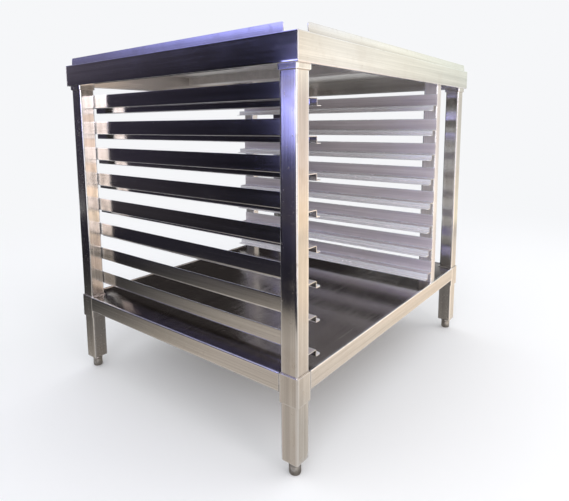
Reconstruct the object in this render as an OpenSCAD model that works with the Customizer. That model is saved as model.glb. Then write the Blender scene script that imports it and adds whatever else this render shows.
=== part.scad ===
// Stainless steel oven stand with eight levels of stepped tray slides.
// Origin: middle of the footprint at floor level. +Z up, front at -Y, left at -X.

/* [Overall] */
// Width over the posts
body_w = 924; // [860:1:1100]
// Depth over the posts
body_d = 750; // [600:1:900]
// Height of the deck's top face above the floor
deck_z = 856; // [840:1:900]
// Thickness of every folded sheet
sheet = 1.5; // [1:0.5:2]

/* [Posts] */
// Side of the square post tube
post_w = 40; // [35:1:45]
// Wall of the post tube
post_wall = 1.5; // [1:0.5:2]
// Height of the post's bottom end above the floor
post_z = 32; // [30:1:40]

/* [Top] */
// Height of the skirts round the deck
skirt_h = 54; // [50:1:70]
// How far the skirts stand out beyond the posts
skirt_out = 9; // [7:1:14]
// Height of the retaining strips above the deck
upstand_h = 17; // [10:1:25]
// How far each retaining strip stops short of the corners
upstand_gap = 32; // [20:1:60]
// Depth of the corner sleeves below the skirts
top_sleeve_drop = 10; // [6:1:20]

/* [Shelf] */
// Height of the shelf rim above the floor
shelf_z = 215; // [200:1:220]
// Height of the aprons round the shelf
apron_h = 40; // [34:1:45]
// Height of the sleeves round the posts at the shelf
shelf_sleeve_h = 60; // [46:1:80]
// Wall of the corner sleeves
sleeve_wall = 3; // [2:0.5:4]

/* [Folds] */
// Width of the inward folds along the skirts and the shelf rim, face included
rim_fold = 6; // [4:0.5:7]
// Width of the inward fold along the bottom of the aprons, face included
apron_fold = 20; // [12:1:30]

/* [Tray slides] */
// Height of the top tray ledge above the floor
top_ledge_z = 744; // [730:1:744]
// Spacing of the tray levels
level_pitch = 71; // [64:1:71]
// Clear width between the slide webs
tray_clear_w = 664; // [600:1:680]
// Height of the web above the ledge
web_h = 33; // [20:1:40]
// Width of the upper ledge, web included
ledge_w = 30; // [20:1:32]
// Step down from the upper ledge to the lower one
step_h = 14; // [10:1:16]
// Width of the lower ledge beyond the step
lip_w = 18; // [12:1:24]
// Distance from each slide's ends to the posts' outer faces
slide_inset = 3; // [3:1:10]

/* [Slide uprights] */
// Width of each upright seen from the front
upright_w = 30; // [25:1:40]
// Depth of each upright
upright_d = 40; // [30:1:60]
// Wall of the upright tube
upright_wall = 1.5; // [1:0.5:2]

/* [Stiffeners] */
// Width of the channels under the deck and the shelf
channel_w = 60; // [40:1:80]
// Depth of the channels
channel_h = 25; // [15:1:30]
// Width of the channel flanges
channel_flange = 15; // [10:1:20]

/* [Feet] */
// Diameter of the foot's body
foot_d = 26; // [22:1:32]
// Height of the foot's body
foot_body_h = 27; // [22:1:27]
// Radius of the foot's bottom edge
foot_round = 5; // [2:0.5:6]
// Diameter of the foot's collar
collar_d = 15; // [13:1:16]
// Height of the collar above the body
collar_h = 4; // [3:0.5:5]
// Diameter of the adjusting stud
stud_d = 10; // [8:1:12]
// Length of the stud above the collar
stud_l = 45; // [40:1:60]
// Height of the threaded plug in the post's end
insert_h = 30; // [26:1:40]
// Radial play of the stud in the plug
stud_play = 0.05; // [0.02:0.01:0.1]
// Depth of the recess that takes the collar
recess_h = 8; // [8:1:10]
// Radial play of the collar in the recess
collar_play = 0.8; // [0.4:0.1:1.5]
// Width of the bevel on the foot's top edge and the stud's end
foot_bevel = 1; // [0.5:0.5:2]

/* [Hidden] */
$fn = 64;
// How far a bore's cutter runs past the solid
past = 1;

// Half sizes, measured from the middle of the stand
post_x = body_w / 2;
post_y = body_d / 2;
skirt_x = post_x + skirt_out;
skirt_y = post_y + skirt_out;
sleeve_x = post_x + sleeve_wall;
sleeve_y = post_y + sleeve_wall;
sleeve_w = post_w + 2 * sleeve_wall;
leg_x = post_x - post_w / 2;
leg_y = post_y - post_w / 2;

// Heights
deck_under = deck_z - sheet;
skirt_z = deck_z - skirt_h;
apron_z = shelf_z - apron_h;
panel_top = shelf_z - sheet;
panel_z = panel_top - sheet;

// Slides: the left webs meet the left posts, the right webs meet the uprights
web_left_x = -post_x + post_w;
web_right_x = web_left_x + tray_clear_w;
slide_l = body_d - 2 * slide_inset;
upright_y = sleeve_y - rim_fold;

// Square tube standing on z0, centred on x, y
module square_tube(x, y, z0, z1, w, d, wall) {
    translate([x, y, z0])
        linear_extrude(z1 - z0)
            difference() {
                square([w, d], center = true);
                square([w - 2 * wall, d - 2 * wall], center = true);
            }
}

// Box between two opposite corners
module block(a, b) {
    translate(a) cube(b - a);
}

// U channel with outward flanges, open side up, running front to back
module hat_channel(z_top, half_l) {
    translate([0, half_l, z_top])
        rotate([90, 0, 0])
            linear_extrude(2 * half_l)
                difference() {
                    union() {
                        translate([-channel_w / 2, -channel_h]) square([channel_w, channel_h]);
                        translate([-channel_w / 2 - channel_flange, -sheet])
                            square([channel_w + 2 * channel_flange, sheet]);
                    }
                    translate([-channel_w / 2 + sheet, -channel_h + sheet])
                        square([channel_w - 2 * sheet, channel_h]);
                }
}

module top_deck() {
    color("gainsboro")
        block([-skirt_x + sheet, -skirt_y + sheet, deck_under], [skirt_x - sheet, skirt_y - sheet, deck_z]);
}

// Front or rear skirt: full width, folded in along the bottom, between and round the sleeves
module skirt_long(side) {
    inner = sleeve_x - sleeve_w;
    color("gainsboro")
        mirror([0, side > 0 ? 1 : 0, 0])
            union() {
                block([-skirt_x, -skirt_y, skirt_z], [skirt_x, -skirt_y + sheet, deck_z]);
                block([-skirt_x + sheet, -skirt_y, skirt_z], [skirt_x - sheet, -sleeve_y, skirt_z + sheet]);
                block([-inner, -skirt_y, skirt_z], [inner, -sleeve_y + rim_fold, skirt_z + sheet]);
            }
}

// Left or right skirt: fits between the front and rear skirts
module skirt_short(side) {
    inner = sleeve_y - sleeve_w;
    color("gainsboro")
        mirror([side > 0 ? 1 : 0, 0, 0])
            union() {
                block([-skirt_x, -skirt_y + sheet, skirt_z], [-skirt_x + sheet, skirt_y - sheet, deck_z]);
                block([-skirt_x, -sleeve_y, skirt_z], [-sleeve_x, sleeve_y, skirt_z + sheet]);
                block([-skirt_x, -inner, skirt_z], [-sleeve_x + rim_fold, inner, skirt_z + sheet]);
            }
}

// Retaining strip along the front (side -1) or rear (side 1) edge of the deck
module upstand_long(side) {
    y = side * (skirt_y - sheet / 2);
    half = skirt_x - upstand_gap;
    color("gainsboro")
        block([-half, y - sheet / 2, deck_z], [half, y + sheet / 2, deck_z + upstand_h]);
}

// Retaining strip along the left (side -1) or right (side 1) edge of the deck
module upstand_short(side) {
    x = side * (skirt_x - sheet / 2);
    half = skirt_y - upstand_gap;
    color("gainsboro")
        block([x - sheet / 2, -half, deck_z], [x + sheet / 2, half, deck_z + upstand_h]);
}

module top_sleeve(sx, sy) {
    color("silver")
        square_tube(sx * leg_x, sy * leg_y, skirt_z - top_sleeve_drop, deck_under,
            sleeve_w, sleeve_w, sleeve_wall);
}

module deck_channel() {
    color("silver") hat_channel(deck_under, skirt_y - sheet);
}

module post(sx, sy) {
    color("silver")
        square_tube(sx * leg_x, sy * leg_y, post_z, deck_under, post_w, post_w, post_wall);
}

// Shelf sheet, notched at the corners round the sleeves
module shelf_panel() {
    x = sleeve_x - sheet;
    y = sleeve_y - sheet;
    color("dimgray")
        difference() {
            block([-x, -y, panel_z], [x, y, panel_top]);
            for (sx = [-1, 1], sy = [-1, 1])
                translate([sx * leg_x, sy * leg_y, shelf_z])
                    cube([sleeve_w, sleeve_w, apron_h], center = true);
        }
}

// Folded rim between two sleeves: a face with a narrow fold at the top and a wide one at the bottom
module apron(half_l, face) {
    block([-half_l, -face, apron_z], [half_l, -face + sheet, shelf_z]);
    block([-half_l, -face, panel_top], [half_l, -face + rim_fold, shelf_z]);
    block([-half_l, -face, apron_z], [half_l, -face + apron_fold, apron_z + sheet]);
}

module apron_long(side) {
    color("silver") rotate([0, 0, side > 0 ? 180 : 0]) apron(sleeve_x - sleeve_w, sleeve_y);
}

module apron_short(side) {
    color("silver") rotate([0, 0, side > 0 ? 90 : -90]) apron(sleeve_y - sleeve_w, sleeve_x);
}

module shelf_sleeve(sx, sy) {
    color("silver")
        square_tube(sx * leg_x, sy * leg_y, shelf_z - shelf_sleeve_h, shelf_z,
            sleeve_w, sleeve_w, sleeve_wall);
}

module shelf_channel() {
    color("silver") hat_channel(panel_z, sleeve_y - sheet);
}

// Upright tube behind the shelf rim, from the shelf sheet to the deck
module upright(side) {
    color("silver")
        square_tube(web_right_x + upright_w / 2, side * (upright_y - upright_d / 2),
            panel_top, deck_under, upright_w, upright_d, upright_wall);
}

// Slide section: x runs inward from the web's outer face, y = 0 is the upper ledge's top face
module slide_section() {
    polygon([
        [0, web_h], [0, -sheet], [ledge_w - sheet, -sheet], [ledge_w - sheet, -step_h - sheet],
        [ledge_w + lip_w, -step_h - sheet], [ledge_w + lip_w, -step_h], [ledge_w, -step_h],
        [ledge_w, 0], [sheet, 0], [sheet, web_h]
    ]);
}

// Slide with its web's outer face at x, opening towards +x (dir 1) or -x (dir -1)
module slide(x, dir, level) {
    color("silver")
        translate([x, slide_l / 2, top_ledge_z - (level - 1) * level_pitch])
            mirror([dir < 0 ? 1 : 0, 0, 0])
                rotate([90, 0, 0])
                    linear_extrude(slide_l) slide_section();
}

// Plug in the post's end: bored for the stud and recessed for the foot's collar
module foot_insert(sx, sy) {
    w = post_w - 2 * post_wall;
    color("dimgray")
        translate([sx * leg_x, sy * leg_y, post_z])
            difference() {
                translate([-w / 2, -w / 2, 0]) cube([w, w, insert_h]);
                translate([0, 0, -past]) cylinder(h = insert_h + 2 * past, r = stud_d / 2 + stud_play);
                translate([0, 0, -past]) cylinder(h = recess_h + past, r = collar_d / 2 + collar_play);
            }
}

// Turned foot: rounded body, collar and stud in one piece
module foot(sx, sy) {
    r = foot_d / 2;
    stud_top = foot_body_h + collar_h + stud_l;
    color("gray")
        translate([sx * leg_x, sy * leg_y, 0])
            rotate_extrude() {
                polygon([
                    [0, 0], [r - foot_round, 0], [r, foot_round],
                    [r, foot_body_h - foot_bevel], [r - foot_bevel, foot_body_h],
                    [collar_d / 2, foot_body_h], [collar_d / 2, foot_body_h + collar_h],
                    [stud_d / 2, foot_body_h + collar_h], [stud_d / 2, stud_top - foot_bevel],
                    [stud_d / 2 - foot_bevel, stud_top], [0, stud_top]
                ]);
                intersection() {
                    translate([r - foot_round, foot_round]) circle(foot_round);
                    square([r, foot_body_h]);
                }
            }
}

top_deck();
skirt_long(-1);  // skirt_front
skirt_long(1);  // skirt_rear
skirt_short(-1);  // skirt_left
skirt_short(1);  // skirt_right
upstand_long(-1);  // upstand_front
upstand_long(1);  // upstand_rear
upstand_short(-1);  // upstand_left
upstand_short(1);  // upstand_right
top_sleeve(-1, -1);  // top_sleeve_front_left
top_sleeve(1, -1);  // top_sleeve_front_right
top_sleeve(-1, 1);  // top_sleeve_rear_left
top_sleeve(1, 1);  // top_sleeve_rear_right
deck_channel();
post(-1, -1);  // post_front_left
post(1, -1);  // post_front_right
post(-1, 1);  // post_rear_left
post(1, 1);  // post_rear_right
shelf_panel();
apron_long(-1);  // apron_front
apron_long(1);  // apron_rear
apron_short(-1);  // apron_left
apron_short(1);  // apron_right
shelf_sleeve(-1, -1);  // shelf_sleeve_front_left
shelf_sleeve(1, -1);  // shelf_sleeve_front_right
shelf_sleeve(-1, 1);  // shelf_sleeve_rear_left
shelf_sleeve(1, 1);  // shelf_sleeve_rear_right
shelf_channel();
upright(-1);  // upright_front
upright(1);  // upright_rear
slide(web_left_x, 1, 1);  // slide_left_1
slide(web_left_x, 1, 2);  // slide_left_2
slide(web_left_x, 1, 3);  // slide_left_3
slide(web_left_x, 1, 4);  // slide_left_4
slide(web_left_x, 1, 5);  // slide_left_5
slide(web_left_x, 1, 6);  // slide_left_6
slide(web_left_x, 1, 7);  // slide_left_7
slide(web_left_x, 1, 8);  // slide_left_8
slide(web_right_x, -1, 1);  // slide_right_1
slide(web_right_x, -1, 2);  // slide_right_2
slide(web_right_x, -1, 3);  // slide_right_3
slide(web_right_x, -1, 4);  // slide_right_4
slide(web_right_x, -1, 5);  // slide_right_5
slide(web_right_x, -1, 6);  // slide_right_6
slide(web_right_x, -1, 7);  // slide_right_7
slide(web_right_x, -1, 8);  // slide_right_8
foot_insert(-1, -1);  // foot_insert_front_left
foot_insert(1, -1);  // foot_insert_front_right
foot_insert(-1, 1);  // foot_insert_rear_left
foot_insert(1, 1);  // foot_insert_rear_right
foot(-1, -1);  // foot_front_left
foot(1, -1);  // foot_front_right
foot(-1, 1);  // foot_rear_left
foot(1, 1);  // foot_rear_right
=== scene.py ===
"""Looks for a stainless steel oven stand with stepped tray slides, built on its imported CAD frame."""

import math
from types import SimpleNamespace

import bmesh
import bpy
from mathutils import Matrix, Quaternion, Vector

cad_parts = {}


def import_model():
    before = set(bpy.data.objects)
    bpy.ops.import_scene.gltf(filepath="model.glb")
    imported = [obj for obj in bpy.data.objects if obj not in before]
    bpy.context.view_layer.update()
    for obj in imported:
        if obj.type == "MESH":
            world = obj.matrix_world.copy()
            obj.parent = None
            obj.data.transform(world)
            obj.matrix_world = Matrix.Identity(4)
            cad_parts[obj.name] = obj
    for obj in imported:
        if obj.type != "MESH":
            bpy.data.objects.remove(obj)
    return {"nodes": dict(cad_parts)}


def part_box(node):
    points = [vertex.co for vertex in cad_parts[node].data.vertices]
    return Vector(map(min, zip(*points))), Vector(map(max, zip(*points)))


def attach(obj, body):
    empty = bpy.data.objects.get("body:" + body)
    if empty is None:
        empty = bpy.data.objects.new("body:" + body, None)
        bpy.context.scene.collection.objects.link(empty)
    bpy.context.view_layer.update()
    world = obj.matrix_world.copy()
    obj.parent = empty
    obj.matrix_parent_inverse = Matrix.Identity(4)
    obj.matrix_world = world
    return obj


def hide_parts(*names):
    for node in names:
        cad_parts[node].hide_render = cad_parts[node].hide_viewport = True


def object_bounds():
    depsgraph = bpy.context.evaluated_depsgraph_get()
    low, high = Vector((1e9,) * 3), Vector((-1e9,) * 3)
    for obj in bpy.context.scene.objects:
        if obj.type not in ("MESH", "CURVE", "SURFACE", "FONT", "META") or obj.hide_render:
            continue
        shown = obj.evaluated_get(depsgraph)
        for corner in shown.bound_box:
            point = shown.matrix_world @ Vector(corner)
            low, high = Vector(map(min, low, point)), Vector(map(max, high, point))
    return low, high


MM = 0.001

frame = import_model()
cad_low, cad_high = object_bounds()

# Sheet and tube sizes that the frame's boxes don't show
SHEET = 1.5 * MM
SLEEVE_WALL = 3 * MM
BEND = 2.2 * MM
CUT = 0.3 * MM
TUBE_ROUND = 3.2 * MM
LEAST_TUBE_ROUND = 0.8 * MM
RIM_FOLD = 6 * MM
APRON_FOLD = 20 * MM
UPSTAND_LEAN = 1.2 * MM
UPSTAND_ROUND = 4 * MM

# Slides: the width of their ledge, how far it is above the step, and the round corners of their lip
LEDGE_W = 30 * MM
STEP_H = 14 * MM
LIP_ROUND = 7 * MM

# What is this near a slide's tip is its lip, and its worn faces, which are also painted lighter for the
# light they catch, start this far before the step
LIP_REACH = 4 * MM
WORN_AND_LIT_START = 1 * MM

# Weld beads: their radius, how far their middle is off the post, and how they ripple and heat
WELD_R = 1.3 * MM
WELD_OFF = 0.4 * MM
WELD_SPACING = 1 * MM
WELD_RIPPLE = 2.6 * MM
WELD_SWELL = 0.14
WELD_HEAT = 0.6
WELD_HEAT_SWING = 0.4

# Turned feet: heights are above the floor, and slopes beside the groove are as high as they are deep
FOOT_BASE_ROUND = 5 * MM
FOOT_WAIST_IN = 0.5 * MM
FOOT_GROOVE = 0.8 * MM
FOOT_GROOVE_LOW = 19 * MM
FOOT_GROOVE_HIGH = 21.6 * MM
FOOT_BODY_TOP = 27 * MM
FOOT_COLLAR_R = 7.5 * MM
FOOT_COLLAR_TOP = 31 * MM
FOOT_STUD_R = 5 * MM
FOOT_STUD_CUT = 1 * MM

# How far rubbed edges, painted lighter as a highlight, and weld heat reach into a sheet
RUB_AND_HIGHLIGHT_REACH = 2.5 * MM
HEAT_REACH = 16 * MM

# A side this many times as long as its corner's reach has a plain middle
PLAIN_SIDE = 4

# Vertices nearer than this are joined, and edges sharper than this are softened
SAME_PLACE = 0.001 * MM
SHARP_ANGLE = math.radians(40)

CORNERS = ["front_left", "front_right", "rear_left", "rear_right"]
SIDES = ["front", "rear", "left", "right"]
LEVELS = range(1, 9)


# ---------------------------------------------------------------- mesh helpers


def turned(point, angle):
    """A point turned about zero."""
    cos, sin = math.cos(angle), math.sin(angle)
    return Vector((point.x * cos - point.y * sin, point.x * sin + point.y * cos))


def rounded(corners, steps=4):
    """Turns (x, y, radius) corners into an outline of (x, y, rub and highlight) points.

    Corners become arcs, which are rubbed and painted lighter as a highlight. A point beside them ends the
    rub and highlight where the side is long.
    """
    outline = []
    count = len(corners)
    for i, (x, y, radius) in enumerate(corners):
        here = Vector((x, y))
        back = Vector(corners[i - 1][:2]) - here
        ahead = Vector(corners[(i + 1) % count][:2]) - here
        half = back.angle(ahead) / 2
        cut = radius / math.tan(half)
        arc = [here]
        if radius > 0:
            inwards = (back.normalized() + ahead.normalized()).normalized()
            centre = here + inwards * (radius / math.sin(half))
            start = here + back.normalized() * cut - centre
            sweep = start.angle_signed(here + ahead.normalized() * cut - centre)
            arc = [centre + turned(start, -sweep * k / steps) for k in range(steps + 1)]
        reach = cut + RUB_AND_HIGHLIGHT_REACH
        if back.length > PLAIN_SIDE * reach:
            outline.append((here + back.normalized() * reach, 0.0))
        outline += [(p, 1.0) for p in arc]
        if ahead.length > PLAIN_SIDE * reach:
            outline.append((here + ahead.normalized() * reach, 0.0))
    return [Vector((p.x, p.y, rub_and_highlight)) for p, rub_and_highlight in outline]


def stations(start, end, welded=False):
    """(place, rub and highlight, heat) along a length: its ends are rubbed and painted lighter as a
    highlight, and heated if they are welded.
    """
    heat = 1.0 if welded else 0.0
    near = [(0, 1, heat), (RUB_AND_HIGHLIGHT_REACH, 0, heat)]
    if welded:
        near.append((HEAT_REACH, 0, 0))
    way = 1 if end > start else -1
    first = [(start + way * reach, rub_and_highlight, warm) for reach, rub_and_highlight, warm in near]
    last = [(end - way * reach, rub_and_highlight, warm) for reach, rub_and_highlight, warm in reversed(near)]
    return first + last


def marked_vertex(bm, point, rub_and_highlight, heat):
    """A vertex that carries how rubbed the steel is, which also paints a highlight, and how heated it is.
    """
    vertex = bm.verts.new(point)
    vertex[bm.verts.layers.float["rub_and_highlight"]] = rub_and_highlight
    vertex[bm.verts.layers.float["heat"]] = heat
    return vertex


def new_mesh():
    """A bmesh with layers for rub, which also paints a highlight, and heat."""
    bm = bmesh.new()
    bm.verts.layers.float.new("rub_and_highlight")
    bm.verts.layers.float.new("heat")
    return bm


def ring(bm, outline, place, station):
    """One closed row of vertices around an outline."""
    w, rub_and_highlight, heat = station
    return [marked_vertex(bm, place(p.x, p.y, w), max(p.z, rub_and_highlight), heat) for p in outline]


def join(bm, rows, closed=True):
    """Joins rows of equal length with faces, and caps both ends if they are closed."""
    for low, high in zip(rows, rows[1:]):
        for i in range(len(low)):
            j = (i + 1) % len(low)
            bm.faces.new((low[i], low[j], high[j], high[i]))
    if closed:
        bm.faces.new(rows[0][::-1])
        bm.faces.new(rows[-1])


def extrude(bm, outline, place, along):
    """Extrudes one outline through its stations. place(u, v, w) gives a point's place."""
    join(bm, [ring(bm, outline, place, station) for station in along])


def hollow(bm, outer, inner, place, along):
    """Extrudes the ring between two outlines of equal length."""
    walls = [[ring(bm, outline, place, station) for station in along] for outline in (outer, inner)]
    for rows in walls:
        join(bm, rows, closed=False)
    for k in (0, -1):
        for i in range(len(outer)):
            j = (i + 1) % len(outer)
            bm.faces.new((walls[0][k][i], walls[0][k][j], walls[1][k][j], walls[1][k][i]))


def rectangle(half_w, half_d, radius):
    """Corners of a rectangle with rounded corners, centred on zero."""
    signs = [(-1, -1), (1, -1), (1, 1), (-1, 1)]
    return [(sx * half_w, sy * half_d, radius) for sx, sy in signs]


def new_piece(name, bm, materials, body="frame", edge=CUT):
    """Makes a piece from a bmesh, with softened edges, riding on a body."""
    bmesh.ops.remove_doubles(bm, verts=bm.verts, dist=SAME_PLACE)
    bmesh.ops.recalc_face_normals(bm, faces=bm.faces)
    mesh = bpy.data.meshes.new(name)
    bm.to_mesh(mesh)
    bm.free()
    for material in materials:
        mesh.materials.append(material)
    mesh.shade_smooth()
    piece = bpy.data.objects.new(name, mesh)
    bpy.context.scene.collection.objects.link(piece)
    if edge:
        bevel = piece.modifiers.new("edges", "BEVEL")
        bevel.width = edge
        bevel.segments = 2
        bevel.limit_method = "ANGLE"
        bevel.angle_limit = SHARP_ANGLE
        bevel.harden_normals = True
    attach(piece, body)
    return piece


# ---------------------------------------------------------------- materials


class Nodes:
    """A small helper that adds and links shader nodes."""

    def __init__(self, owner):
        owner.use_nodes = True
        self.tree = owner.node_tree
        self.tree.nodes.clear()

    def add(self, kind, inputs=None, **settings):
        """A node of a kind. Inputs that are sockets are linked, and others are set."""
        node = self.tree.nodes.new(kind)
        for key, value in settings.items():
            setattr(node, key, value)
        for key, value in (inputs or {}).items():
            if isinstance(value, bpy.types.NodeSocket):
                self.tree.links.new(value, node.inputs[key])
            else:
                node.inputs[key].default_value = value
        return node

    def ramp(self, factor, stops):
        """Colour ramp of (position, colour) stops."""
        node = self.add("ShaderNodeValToRGB", {"Fac": factor})
        elements = node.color_ramp.elements
        while len(elements) < len(stops):
            elements.new(0.5)
        for element, (position, colour) in zip(elements, stops):
            element.position = position
            element.color = (*colour, 1)
        return node.outputs["Color"]

    def mask(self, value, low, high):
        """0 below low, 1 above high and smooth between them."""
        inputs = {"Value": value, "From Min": low, "From Max": high}
        return self.add("ShaderNodeMapRange", inputs, interpolation_type="SMOOTHSTEP").outputs[0]

    def maths(self, operation, a, b):
        """Result of an operation on two numbers."""
        return self.add("ShaderNodeMath", {0: a, 1: b}, operation=operation).outputs[0]

    def total(self, *parts):
        """Sum of (value, weight) parts."""
        result = 0.0
        for value, weight in parts:
            inputs = {0: value, 1: weight, 2: result}
            node = self.add("ShaderNodeMath", inputs, operation="MULTIPLY_ADD")
            result = node.outputs[0]
        return result

    def mix(self, factor, a, b, blend="MIX"):
        """Mix of two colours."""
        inputs = {0: factor, 6: a, 7: b}
        return self.add("ShaderNodeMix", inputs, data_type="RGBA", blend_type=blend).outputs[2]

    def noise(self, place, scale, detail=2.0, roughness=0.5, turn=0.0):
        """Noise with a scale for each axis, turned about all three."""
        inputs = {"Vector": place, "Scale": scale, "Rotation": (turn, turn, turn)}
        where = self.add("ShaderNodeMapping", inputs).outputs[0]
        inputs = {"Vector": where, "Scale": 1.0, "Detail": detail, "Roughness": roughness}
        return self.add("ShaderNodeTexNoise", inputs).outputs["Fac"]

    def layer(self, name):
        """A number stored on the mesh."""
        return self.add("ShaderNodeAttribute", attribute_name=name).outputs["Fac"]


def even(value):
    """One value three times, as a scale or a colour."""
    return (value, value, value)


def stretched(axis, across, along):
    """Noise scale with one slow axis."""
    return tuple(along if letter == axis else across for letter in "XYZ")


def scaled(parts, factor):
    """Parts of a total, with their weights multiplied."""
    return [(value, weight * factor) for value, weight in parts]


DIRT_TINT = (0.74, 0.66, 0.56, 1)
HEAT_TINT = (0.72, 0.54, 0.34, 1)
# Colour of rubbed edges and bends, whose lightness also paints a highlight along them
RUBBED_AND_HIGHLIT_STEEL = (0.90, 0.92, 0.96, 1)
BUMP_STRENGTH = 0.35
BUMP_DEPTH = 2.2 * MM


def steel_marks(nodes, place, grain):
    """Marks on the steel, as numbers from 0 to 1. Noise scales are per metre."""
    if grain:
        lines = nodes.noise(place, stretched(grain, 520, 5))
        streaks = nodes.noise(place, stretched(grain, 75, 1.1), detail=3)
    else:
        lines = nodes.noise(place, even(700), detail=3)
        streaks = nodes.noise(place, even(48), detail=6, roughness=0.65)
    stain = nodes.noise(place, even(6), detail=5, roughness=0.62)
    smears = nodes.noise(place, (26, 9, 15), detail=4, roughness=0.6, turn=0.5)
    drops = nodes.noise(place, even(120))
    scratches = nodes.noise(place, (9, 640, 640), detail=1, turn=0.35)
    rub_and_highlight = nodes.noise(place, even(60), detail=3)
    heat = nodes.noise(place, even(32))
    return SimpleNamespace(
        lines=lines,
        streaks=streaks,
        stain=nodes.mask(stain, 0.47, 0.72),
        smears=nodes.mask(smears, 0.50, 0.74),
        drops=nodes.mask(drops, 0.69, 0.74),
        scratches=nodes.mask(scratches, 0.70, 0.76),
        # Rubbed edges and bends marked on the mesh: real wear in the roughness, and a painted highlight
        # in the colour
        rub_and_highlight=nodes.maths("MULTIPLY", nodes.layer("rub_and_highlight"), nodes.mask(rub_and_highlight, 0.10, 0.50)),
        heat=nodes.maths("MULTIPLY", nodes.layer("heat"), nodes.mask(heat, 0.25, 0.75)),
    )


def steel_colour(nodes, marks, light, dark, smudge, worn_and_lit):
    """Streaky steel that dirt and weld heat tint, lighter where it is rubbed, which also paints a
    highlight along edges and bends.
    """
    brushing = nodes.mask(nodes.total((marks.streaks, 0.6), (marks.lines, 0.4)), 0.34, 0.66)
    dirt = scaled([(marks.stain, 0.30), (marks.smears, 0.22), (marks.drops, 0.35)], smudge)
    colour = nodes.mix(brushing, (*dark, 1), (*light, 1))
    colour = nodes.mix(nodes.total(*dirt), colour, DIRT_TINT, "MULTIPLY")
    colour = nodes.mix(nodes.maths("MULTIPLY", marks.heat, 0.55), colour, HEAT_TINT, "MULTIPLY")
    # Lighter along rubbed edges and bends: wear, and a painted highlight
    return nodes.mix(nodes.maths("MULTIPLY", marks.rub_and_highlight, worn_and_lit), colour, RUBBED_AND_HIGHLIT_STEEL)


def steel_roughness(nodes, marks, rough, smudge):
    """Roughness that the marks change a little."""
    fine = nodes.maths("SUBTRACT", marks.lines, 0.5)
    broad = nodes.maths("SUBTRACT", marks.streaks, 0.5)
    dirt = scaled([(marks.stain, 0.07), (marks.smears, 0.09), (marks.drops, 0.12)], smudge)
    wear = [(marks.scratches, 0.08), (marks.rub_and_highlight, -0.06), (marks.heat, 0.06)]
    return nodes.total((rough, 1.0), (fine, 0.07), (broad, 0.10), *dirt, *wear)


def steel_bump(nodes, place, marks, grain):
    """Normal of sheet that waves a little under its lines, drops and scratches."""
    wave = nodes.noise(place, even(3.1), detail=1)
    ripple = nodes.noise(place, stretched(grain, 17, 5) if grain else even(12), detail=1)
    sheet = [(marks.lines, 0.02), (wave, 1.0), (ripple, 0.24)]
    height = nodes.total(*sheet, (marks.drops, 0.012), (marks.scratches, -0.02))
    inputs = {"Height": height, "Strength": BUMP_STRENGTH, "Distance": BUMP_DEPTH}
    return nodes.add("ShaderNodeBump", inputs).outputs[0]


def steel(name, grain, light, dark, rough, smudge=0.5, stretch=0.6, metallic=1.0, worn_and_lit=0.6):
    """Stainless sheet with wear, stains and heat tint, and a highlight painted along its rubbed edges and
    bends.

    grain is the axis it is brushed along, or None for the dull finish of unbrushed sheet.
    """
    material = bpy.data.materials.new(name)
    nodes = Nodes(material)
    place = nodes.add("ShaderNodeTexCoord").outputs["Object"]
    marks = steel_marks(nodes, place, grain)
    surface = {
        "Base Color": steel_colour(nodes, marks, light, dark, smudge, worn_and_lit),
        "Roughness": steel_roughness(nodes, marks, rough, smudge),
        "Normal": steel_bump(nodes, place, marks, grain),
    }
    if grain:
        tangent = nodes.add("ShaderNodeTangent", direction_type="RADIAL", axis=grain)
        surface["Tangent"] = tangent.outputs[0]
    shader = nodes.add("ShaderNodeBsdfPrincipled", surface)
    shader.inputs["Metallic"].default_value = metallic
    shader.inputs["Anisotropic"].default_value = stretch if grain else 0.0
    nodes.add("ShaderNodeOutputMaterial", {"Surface": shader.outputs[0]})
    return material


LIGHT_STEEL = (0.70, 0.685, 0.665)
DARK_STEEL = (0.56, 0.545, 0.53)
brushed_x = steel("brushed_steel_x", "X", LIGHT_STEEL, DARK_STEEL, 0.20)
brushed_y = steel("brushed_steel_y", "Y", LIGHT_STEEL, DARK_STEEL, 0.12)
brushed_z = steel("brushed_steel_z", "Z", LIGHT_STEEL, DARK_STEEL, 0.165, smudge=1.2)
upright_steel = steel("upright_steel_dull", "Z", (0.76, 0.73, 0.72), (0.62, 0.59, 0.58), 0.30,
                      metallic=0.72)
slide_outside = steel("slide_steel_brushed", "Y", LIGHT_STEEL, DARK_STEEL, 0.15)
slide_inside = steel("slide_steel_dull", "Y", (0.86, 0.81, 0.84), (0.67, 0.62, 0.65), 0.32,
                     smudge=0.35, stretch=0.8, metallic=0.5, worn_and_lit=1.0)
# Step and lip: a little smoother where trays wear them, and painted lighter than the rest of the inside
# for the light they catch
slide_worn_and_lit = steel("slide_steel_worn_and_lit", "Y", (0.94, 0.91, 0.93), (0.80, 0.77, 0.79), 0.28,
                   smudge=0.3, stretch=0.8, metallic=0.3, worn_and_lit=1.0)
weld_steel = steel("weld_steel", None, (0.66, 0.61, 0.55), (0.38, 0.34, 0.32), 0.30, smudge=0.7)
deck_dull = steel("deck_steel_dull", None, (0.70, 0.68, 0.66), (0.58, 0.57, 0.55), 0.38,
                  smudge=0.4, metallic=0.75)
shelf_steel = steel("shelf_steel_brushed", "X", (0.52, 0.49, 0.46), (0.40, 0.37, 0.35), 0.17)
foot_steel = steel("foot_steel_turned", "Z", (0.48, 0.47, 0.45), (0.33, 0.32, 0.31), 0.32,
                   smudge=1.0, stretch=0.2)


# ---------------------------------------------------------------- the stand's pieces


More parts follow.
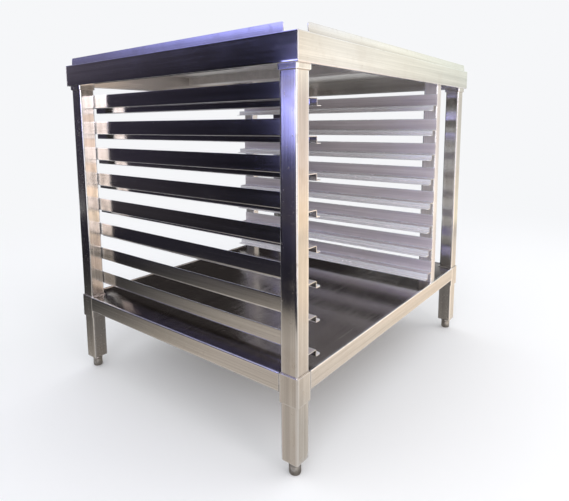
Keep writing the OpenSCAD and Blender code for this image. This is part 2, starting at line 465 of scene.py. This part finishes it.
def tube(node, wall, material, welded=False):
    """Square tube with rounded corners in place of a CAD tube."""
    low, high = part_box(node)
    centre = (low + high) / 2
    half = (high - low) / 2
    outer = rounded(rectangle(half.x, half.y, TUBE_ROUND))
    inner_round = max(TUBE_ROUND - wall, LEAST_TUBE_ROUND)
    inner = rounded(rectangle(half.x - wall, half.y - wall, inner_round))
    bm = new_mesh()
    along = stations(low.z, high.z, welded)
    hollow(bm, outer, inner, lambda u, v, w: (centre.x + u, centre.y + v, w), along)
    piece = new_piece(node + "_tube", bm, [material])
    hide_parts(node)


def walk(loop):
    """(spot, way out, distance walked) at small even steps round a closed loop."""
    walked = 0.0
    for here, ahead in zip(loop, loop[1:] + loop[:1]):
        length = (ahead - here).length
        side = (ahead - here).normalized()
        count = max(1, round(length / WELD_SPACING))
        for k in range(count):
            part = k / count
            yield here.lerp(ahead, part), Vector((side.y, -side.x)), walked + length * part
        walked += length


def weld_bead(node, z):
    """Rippled bead of weld round a post, where it meets the edge of a sleeve."""
    low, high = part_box(node)
    centre = (low + high) / 2
    half = (high - low) / 2
    loop = [Vector(p.xy) for p in rounded(rectangle(half.x, half.y, TUBE_ROUND), steps=8)]
    around = [math.radians(a) for a in range(0, 360, 45)]
    bm = new_mesh()
    rows = []
    for spot, out, walked in walk(loop):
        ripple = math.sin(math.tau * walked / WELD_RIPPLE)
        radius = WELD_R * (1 + WELD_SWELL * ripple)
        heat = WELD_HEAT + WELD_HEAT_SWING * ripple
        row = []
        for angle in around:
            place = centre.xy + spot + out * (WELD_OFF + radius * math.cos(angle))
            rise = radius * math.sin(angle)
            row.append(marked_vertex(bm, (place.x, place.y, z + rise), 0.0, heat))
        rows.append(row)
    join(bm, rows + rows[:1], closed=False)
    return bm


def slide_outline(top, tip):
    """Section of a slide: web, ledge, step and lip. Its first half is the brushed side."""
    ledge = STEP_H + SHEET
    outer, inner = BEND, BEND - SHEET
    step = LEDGE_W - SHEET
    brushed = [(0, top, CUT), (0, ledge - SHEET, outer), (step, ledge - SHEET, inner), (step, 0, outer)]
    edge = [(tip, 0, CUT), (tip, SHEET, CUT)]
    dull = [(LEDGE_W, SHEET, inner), (LEDGE_W, ledge, outer), (SHEET, ledge, inner), (SHEET, top, CUT)]
    return rounded(brushed + edge + dull)


def lip_stations(start, end):
    """(station, cutback) along a slide, whose ends are rubbed, painted lighter as a highlight, and
    heated.

    The cutback is how far the lip is drawn in, which makes its corners round.
    """
    quarter = [math.radians(a) for a in range(0, 91, 18)]
    first = []
    for angle in quarter:
        reach = LIP_ROUND * (1 - math.cos(angle))
        rub_and_highlight = 1.0 if angle == 0 else 0.0
        first.append((reach, rub_and_highlight, LIP_ROUND * (1 - math.sin(angle))))
    near = [((start + reach, rub_and_highlight, rub_and_highlight), cutback) for reach, rub_and_highlight, cutback in first]
    far = [((end - reach, rub_and_highlight, rub_and_highlight), cutback) for reach, rub_and_highlight, cutback in reversed(first)]
    return near + far


def finish_slide(bm, web_x, inward):
    """Gives faces material 0 outside, 1 inside, and 2 on the step and lip, which trays wear and which are
    painted lighter for the light they catch.
    """
    bmesh.ops.recalc_face_normals(bm, faces=bm.faces)
    for face in bm.faces:
        faces_trays = face.normal.x * inward + face.normal.z > 0
        reach = (face.calc_center_median().x - web_x) * inward
        # Faces that trays wear, which are also painted lighter for the light they catch
        worn_and_lit = reach > LEDGE_W - WORN_AND_LIT_START
        face.material_index = (2 if worn_and_lit else 1) if faces_trays else 0


def slide(side, level):
    """Stepped slide: brushed outside, dull inside, and on its step and rounded lip worn by trays and
    painted lighter for the light they catch.
    """
    node = f"slide_{side}_{level}"
    low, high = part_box(node)
    inward = 1 if side == "left" else -1
    web_x = low.x if side == "left" else high.x
    tip = high.x - low.x
    outline = slide_outline(high.z - low.z, tip)
    bm = new_mesh()
    rows = []
    for station, cutback in lip_stations(low.y, high.y):
        cut = [Vector((p.x - cutback if p.x > tip - LIP_REACH else p.x, p.y, p.z)) for p in outline]
        rows.append(ring(bm, cut, lambda u, v, w: (web_x + inward * u, w, low.z + v), station))
    join(bm, rows)
    finish_slide(bm, web_x, inward)
    finishes = [slide_outside, slide_inside, slide_worn_and_lit]
    piece = new_piece(node + "_section", bm, finishes)
    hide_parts(node)


def side_placer(side, low, high):
    """Maps (in from the face, up, along) to a place on a side."""
    if side == "front":
        return lambda u, v, w: (w, low.y + u, v)
    if side == "rear":
        return lambda u, v, w: (w, high.y - u, v)
    if side == "left":
        return lambda u, v, w: (low.x + u, w, v)
    return lambda u, v, w: (high.x - u, w, v)


def side_parts(side, node):
    """What a piece along one side needs: its box, placer, ends and material."""
    low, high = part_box(node)
    along_x = side in ("front", "rear")
    ends = (low.x, high.x) if along_x else (low.y, high.y)
    return low, high, side_placer(side, low, high), ends, brushed_x if along_x else brushed_y


def skirt(side):
    """Folded skirt: a face, a narrow fold at the sleeves and a wider one between them."""
    node = "skirt_" + side
    low, high, place, ends, material = side_parts(side, node)
    sleeve_low, sleeve_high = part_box("top_sleeve_front_left")
    along_x = side in ("front", "rear")
    gap = (sleeve_low.y - cad_low.y) if along_x else (sleeve_low.x - cad_low.x)
    sleeve_end = sleeve_high.x if along_x else sleeve_high.y
    fold = min(high.x - low.x, high.y - low.y)
    under = low.z + SHEET
    corners = [(0, high.z, CUT), (0, low.z, BEND), (gap, low.z, CUT)]
    corners += [(gap, under, CUT), (SHEET, under, BEND - SHEET), (SHEET, high.z, CUT)]
    bm = new_mesh()
    extrude(bm, rounded(corners), place, stations(*ends, welded=True))
    strip = [(gap, low.z, 0), (fold, low.z, 0), (fold, under, 0), (gap, under, 0)]
    extrude(bm, rounded(strip), place, stations(sleeve_end, -sleeve_end, welded=True))
    piece = new_piece(node + "_sheet", bm, [material])
    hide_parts(node)


def upstand(side):
    """Low retaining strip with rounded ends that leans in a little."""
    node = "upstand_" + side
    low, high, place, ends, material = side_parts(side, node)
    start, end = ends
    corners = [(start, low.z, 0), (end, low.z, 0)]
    corners += [(end, high.z, UPSTAND_ROUND), (start, high.z, UPSTAND_ROUND)]
    bm = new_mesh()

    def across(u, v, w):
        return place(w + UPSTAND_LEAN * (v - low.z) / (high.z - low.z), v, u)

    extrude(bm, rounded(corners, steps=6), across, [(0, 0, 0), (SHEET, 0, 0)])
    piece = new_piece(node + "_strip", bm, [material])
    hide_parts(node)


def apron(side):
    """Folded shelf rim between two sleeves."""
    node = "apron_" + side
    low, high, place, ends, material = side_parts(side, node)
    inner = BEND - SHEET
    under = low.z + SHEET
    top = high.z - SHEET
    corners = [(0, high.z, BEND), (0, low.z, BEND), (APRON_FOLD, low.z, CUT), (APRON_FOLD, under, CUT)]
    corners += [(SHEET, under, inner), (SHEET, top, inner), (RIM_FOLD, top, CUT), (RIM_FOLD, high.z, CUT)]
    bm = new_mesh()
    extrude(bm, rounded(corners), place, stations(*ends, welded=True))
    piece = new_piece(node + "_rim", bm, [material])
    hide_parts(node)


def foot_profile(radius, top):
    """(radius, height) points up a turned foot: base, groove, shoulder, collar and stud."""
    waist = radius - FOOT_WAIST_IN
    neck = radius - FOOT_GROOVE
    bend = FOOT_BASE_ROUND
    arc = [math.radians(a) for a in range(0, 91, 15)]
    base = [(waist - bend + bend * math.sin(a), bend - bend * math.cos(a)) for a in arc]
    groove = [(waist, FOOT_GROOVE_LOW), (neck, FOOT_GROOVE_LOW + FOOT_GROOVE)]
    groove += [(neck, FOOT_GROOVE_HIGH - FOOT_GROOVE), (radius, FOOT_GROOVE_HIGH)]
    shoulder = [(radius, FOOT_BODY_TOP - FOOT_GROOVE), (neck, FOOT_BODY_TOP)]
    collar = [(FOOT_COLLAR_R, FOOT_BODY_TOP), (FOOT_COLLAR_R, FOOT_COLLAR_TOP - CUT)]
    collar += [(FOOT_COLLAR_R - CUT, FOOT_COLLAR_TOP)]
    stud = [(FOOT_STUD_R, FOOT_COLLAR_TOP), (FOOT_STUD_R, top - FOOT_STUD_CUT)]
    stud += [(FOOT_STUD_R - FOOT_STUD_CUT, top)]
    return base + groove + shoulder + collar + stud


def foot(corner):
    """Turned foot, with a circle of vertices at each point of its profile."""
    node = "foot_" + corner
    low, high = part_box(node)
    centre = (low + high) / 2
    circle = [math.radians(a) for a in range(0, 360, 8)]
    bm = new_mesh()
    rows = []
    for radius, z in foot_profile((high.x - low.x) / 2, high.z):
        turn = [Vector((radius * math.cos(a), radius * math.sin(a), 0)) for a in circle]
        rows.append(ring(bm, turn, lambda u, v, w: (centre.x + u, centre.y + v, w), (z, 0, 0)))
    join(bm, rows)
    piece = new_piece(node + "_turned", bm, [foot_steel], body=node, edge=0)
    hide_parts(node)


def finish_node(node, material):
    """Gives a CAD node that stays in view its material."""
    materials = frame["nodes"][node].data.materials
    materials.clear()
    materials.append(material)


for corner in CORNERS:
    tube("post_" + corner, SHEET, brushed_z)
    tube("top_sleeve_" + corner, SLEEVE_WALL, brushed_z, welded=True)
    tube("shelf_sleeve_" + corner, SLEEVE_WALL, brushed_z, welded=True)
    foot(corner)
    finish_node("foot_insert_" + corner, foot_steel)
    for sleeve, edge in (("top_sleeve_", 0), ("shelf_sleeve_", 1)):
        bead = weld_bead("post_" + corner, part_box(sleeve + corner)[edge].z)
        new_piece(sleeve + corner + "_weld", bead, [weld_steel], edge=0)
for which in ("front", "rear"):
    tube("upright_" + which, SHEET, upright_steel, welded=True)
for side in SIDES:
    skirt(side)
    upstand(side)
    apron(side)
for level in LEVELS:
    slide("left", level)
    slide("right", level)
finish_node("top_deck", deck_dull)
finish_node("deck_channel", deck_dull)
finish_node("shelf_panel", shelf_steel)
finish_node("shelf_channel", deck_dull)


# ---------------------------------------------------------------- studio

PALE = (0.922, 0.930, 0.947)
PALE_FLOOR = (0.955, 0.96, 0.97)
NIGHT = (0.02, 0.019, 0.03)
VIOLET = (0.78, 0.80, 1.85)

# The floor fades into the background between these distances from the stand's middle
FADE_START = 1.0
FADE_END = 3.2
FLOOR_RADIUS = 60

# The floor lies just under the feet, and the pools just over it
FLOOR_Z = -0.2 * MM
POOL_Z = 0.8 * MM


def stage_object(name, mesh, material):
    """A stage object from a mesh."""
    mesh.materials.append(material)
    made = bpy.data.objects.new(name, mesh)
    bpy.context.scene.collection.objects.link(made)
    return made


def floor():
    """Large pale floor that fades into the pale background far away."""
    material = bpy.data.materials.new("pale_floor")
    nodes = Nodes(material)
    place = nodes.add("ShaderNodeTexCoord").outputs["Object"]
    distance = nodes.add("ShaderNodeVectorMath", {0: place}, operation="LENGTH").outputs["Value"]
    far = nodes.mask(distance, FADE_START, FADE_END)
    near_floor = nodes.add("ShaderNodeBsdfDiffuse", {"Color": (*PALE_FLOOR, 1)})
    backdrop = nodes.add("ShaderNodeEmission", {"Color": (*PALE, 1)})
    inputs = {0: far, 1: near_floor.outputs[0], 2: backdrop.outputs[0]}
    both = nodes.add("ShaderNodeMixShader", inputs)
    nodes.add("ShaderNodeOutputMaterial", {"Surface": both.outputs[0]})
    bm = bmesh.new()
    bmesh.ops.create_circle(bm, cap_ends=True, segments=96, radius=FLOOR_RADIUS)
    mesh = bpy.data.meshes.new("floor")
    bm.to_mesh(mesh)
    bm.free()
    stage_object("floor", mesh, material).location.z = FLOOR_Z


def glow(name, colour_of):
    """Emission material whose colour colour_of makes from the nodes."""
    material = bpy.data.materials.new(name)
    nodes = Nodes(material)
    shine = nodes.add("ShaderNodeEmission", {"Color": colour_of(nodes)})
    nodes.add("ShaderNodeOutputMaterial", {"Surface": shine.outputs[0]})
    return material


def reflected_only(made):
    """Only reflections see this stage object, as they would a studio's flags and reflectors."""
    made.visible_camera = False
    made.visible_diffuse = False
    made.visible_shadow = False
    made.visible_transmission = False


def evenly(colours):
    """Ramp stops for evenly spaced colours."""
    return [(i / (len(colours) - 1), colour) for i, colour in enumerate(colours)]


def tinted(levels, tint):
    """Colours of one tint, one for each level of light."""
    return [tuple(level * share for share in tint) for level in levels]


def flat_mesh(name, low, high):
    """Flat rectangle from low to high."""
    corners = [(low[0], low[1], 0), (high[0], low[1], 0), (high[0], high[1], 0), (low[0], high[1], 0)]
    mesh = bpy.data.meshes.new(name)
    mesh.from_pydata(corners, [], [(0, 1, 2, 3)])
    return mesh


def card(name, place, facing, size, upward, sideways=(even(1), even(1))):
    """Flat card with colours from bottom to top, multiplied by colours from its left to its right."""

    def colours(nodes):
        across = nodes.add("ShaderNodeTexCoord").outputs["Generated"]
        parts = nodes.add("ShaderNodeSeparateXYZ", {"Vector": across})
        rise = nodes.ramp(parts.outputs["Y"], evenly(upward))
        run = nodes.ramp(parts.outputs["X"], evenly(sideways))
        return nodes.mix(1.0, rise, run, "MULTIPLY")

    half_w, half_h = size[0] / 2, size[1] / 2
    mesh = flat_mesh(name, (-half_w, -half_h), (half_w, half_h))
    made = stage_object(name, mesh, glow(name, colours))
    made.location = place
    made.rotation_mode = "QUATERNION"
    made.rotation_quaternion = (Vector(facing) - Vector(place)).to_track_quat("Z", "Y")
    reflected_only(made)


def pool(name, centre, low, high, radius, stops):
    """Card lying on the floor from low to high, with colours by the distance from its centre."""

    def colours(nodes):
        place = nodes.add("ShaderNodeTexCoord").outputs["Object"]
        distance = nodes.add("ShaderNodeVectorMath", {0: place}, operation="LENGTH").outputs["Value"]
        return nodes.ramp(nodes.maths("DIVIDE", distance, radius), stops)

    start = (low[0] - centre[0], low[1] - centre[1])
    end = (high[0] - centre[0], high[1] - centre[1])
    made = stage_object(name, flat_mesh(name, start, end), glow(name, colours))
    made.location = (*centre, POOL_Z)
    reflected_only(made)


def area(name, place, aim, size, power, colour):
    """Soft square light."""
    data = bpy.data.lights.new(name, "AREA")
    data.size = size
    data.energy = power
    data.color = colour
    lamp = bpy.data.objects.new(name, data)
    lamp.location = place
    lamp.rotation_mode = "QUATERNION"
    lamp.rotation_quaternion = (Vector(aim) - Vector(place)).to_track_quat("-Z", "Y")
    lamp.visible_camera = False
    lamp.visible_glossy = False
    bpy.context.scene.collection.objects.link(lamp)


def world():
    """Pale light from all sides, seen as the background."""
    made = bpy.data.worlds.new("studio")
    nodes = Nodes(made)
    sky = nodes.add("ShaderNodeBackground", {"Color": (*PALE, 1)})
    nodes.add("ShaderNodeOutputWorld", {"Surface": sky.outputs[0]})
    bpy.context.scene.world = made


def lamps():
    """Soft lamps for the floor and the dull steel, which reflections don't see."""
    middle = (0, 0, 0.45)
    area("key", (1.8, -2.6, 2.6), middle, 2.2, 15, (1.0, 0.97, 0.93))
    area("fill", (-3.0, -1.5, 2.2), middle, 1.6, 26, (0.90, 0.93, 1.0))
    area("opening", (-0.7, -2.3, 0.95), (0.24, 0, 0.45), 1.0, 8, (1.0, 0.92, 0.90))


def left_cards():
    """Dark left of the room, a violet sky above it, and a card that the near post reflects."""
    flag = [(0.035, 0.033, 0.036), NIGHT, NIGHT, (0.06, 0.057, 0.08)]
    flag_run = [even(0.8), even(0.3), (1.6, 1.5, 1.5), (3.4, 3.2, 3.0), even(3), even(3)]
    card("left_flag", (-1.75, 2.65, 0.67), (0, 2.65, 0.67), (6.0, 1.34), flag, flag_run)
    sky_run = [even(1), even(1), even(0.6), (0.35, 0.33, 0.30), (0.2, 0.2, 0.16)]
    card("left_sky", (-1.75, 1.45, 1.99), (0, 1.45, 1.99), (3.6, 1.3), [VIOLET, VIOLET], sky_run)
    dusk = tinted((0.02, 0.05, 0.08, 0.09, 0.10, 0.105, 0.11, 0.12), (1, 0.95, 1.75))
    dusk += tinted((0.13, 0.18, 0.75, 1.25, 1.35, 2.1, 1.2, 1.1, 1.05), (1, 1.04, 2.4))
    dusk_run = [(1.15, 1.05, 0.55)] * 4 + [(1, 1, 1.05)] * 3
    card("left_near", (-1.70, 0.285, 0.48), (0, 0.285, 0.48), (0.57, 0.96), dusk, dusk_run)


def dark_cards():
    """Dark room behind the stand and to its right."""
    rear = [(0.03, 0.026, 0.026), (0.05, 0.045, 0.045)]
    card("rear_flag", (1.2, 1.5, 1.13), (1.2, 0, 1.13), (3.8, 2.05), rear)
    right = [(0.03, 0.026, 0.028), (0.04, 0.036, 0.036)]
    card("right_flag", (1.7, 0.75, 1.35), (0, 0.75, 1.35), (1.6, 1.5), right)


def front_cards():
    """Warm window in front of the stand, and bright cards beside and behind the camera."""
    window = [(1.75, 1.38, 0.98), (1.50, 1.20, 0.91), (1.25, 1.02, 0.84), (1.15, 0.95, 0.79)]
    window += [(1.05, 0.88, 0.74), (1.55, 1.40, 1.16), (1.45, 1.30, 1.05), (1.02, 0.94, 0.82)]
    window += [(0.90, 0.82, 0.72)]
    window_run = [(0.72, 0.84, 0.93), (0.72, 0.85, 0.93), (0.88, 0.96, 1.02), (1.05, 1.15, 1.30)]
    window_run += [even(1), (1.4, 1.3, 1.35), (0.70, 0.77, 0.86)] + [(0.62, 0.70, 0.79)] * 2
    card("front_window", (1.25, -1.75, 0.85), (-0.2, -0.1, 0.85), (3.4, 1.7), window, window_run)
    card("camera_side", (-2.7, -2.1, 1.5), (0, 0, 0.5), (1.4, 1.2), [(7.0, 6.3, 6.6)] * 2)
    back = [(2.9, 2.45, 2.2), (3.8, 3.4, 3.5)]
    card("camera_back", (-1.33, -1.16, 0.55), (-0.44, 0.33, 0.55), (0.32, 1.1), back)


def pools():
    """Floor as reflections see it: beige and dark at the left, warm in front, and painted shade under the
    stand.
    """
    beige = [(0.0, (0.60, 0.54, 0.48)), (0.18, (0.58, 0.52, 0.46)), (0.26, (0.43, 0.39, 0.34))]
    beige += [(0.34, (0.24, 0.22, 0.20)), (0.44, (0.10, 0.095, 0.09)), (0.60, (0.03, 0.028, 0.03))]
    pool("left_pool", (-0.6, -0.3), (-1.14, -1.2), (-0.49, 2.8), 2.5, beige)
    dark = evenly([NIGHT, NIGHT])
    pool("far_left_pool", (-2.0, 0.8), (-2.8, -1.2), (-1.14, 2.8), 2.5, dark)
    warm = [(0.15, (1.32, 1.10, 0.86)), (0.22, (1.18, 0.98, 0.79)), (0.28, (1.08, 0.94, 0.79))]
    warm += [(0.40, (0.98, 0.87, 0.76)), (0.50, (0.70, 0.65, 0.59))]
    pool("front_pool", (0.75, -1.15), (-0.6, -2.2), (2.4, -0.40), 2.5, warm)
    # Painted shade: the floor under the stand, grey as if in the stand's shadow
    grey = [(0.3, (0.20, 0.185, 0.175)), (0.6, (0.3, 0.28, 0.26))]
    pool("under_pool", (0, 0), (-0.47, -0.39), (0.47, 0.39), 1.0, grey)


CAMERA_PLACE = (-1.158, -0.869, 0.696)
CAMERA_TURN = math.radians(-50.9)
CAMERA_TILT = math.radians(-7.26)
CAMERA_ROLL = math.radians(0.54)


def camera():
    """Camera low at the front left corner, with the framing set by the lens shift."""
    data = bpy.data.cameras.new("camera")
    data.sensor_width = 36
    data.lens = 30.23
    data.shift_x = 0.0323
    data.shift_y = -0.1156
    data.clip_start = 0.02
    made = bpy.data.objects.new("camera", data)
    made.location = CAMERA_PLACE
    level = math.cos(CAMERA_TILT)
    look = Vector((-math.sin(CAMERA_TURN) * level, math.cos(CAMERA_TURN) * level, math.sin(CAMERA_TILT)))
    made.rotation_mode = "QUATERNION"
    made.rotation_quaternion = Quaternion(look, CAMERA_ROLL) @ look.to_track_quat("-Z", "Y")
    bpy.context.scene.collection.objects.link(made)
    bpy.context.scene.camera = made


floor()
world()
lamps()
left_cards()
dark_cards()
front_cards()
pools()
camera()
bpy.context.scene.view_settings.view_transform = "Standard"
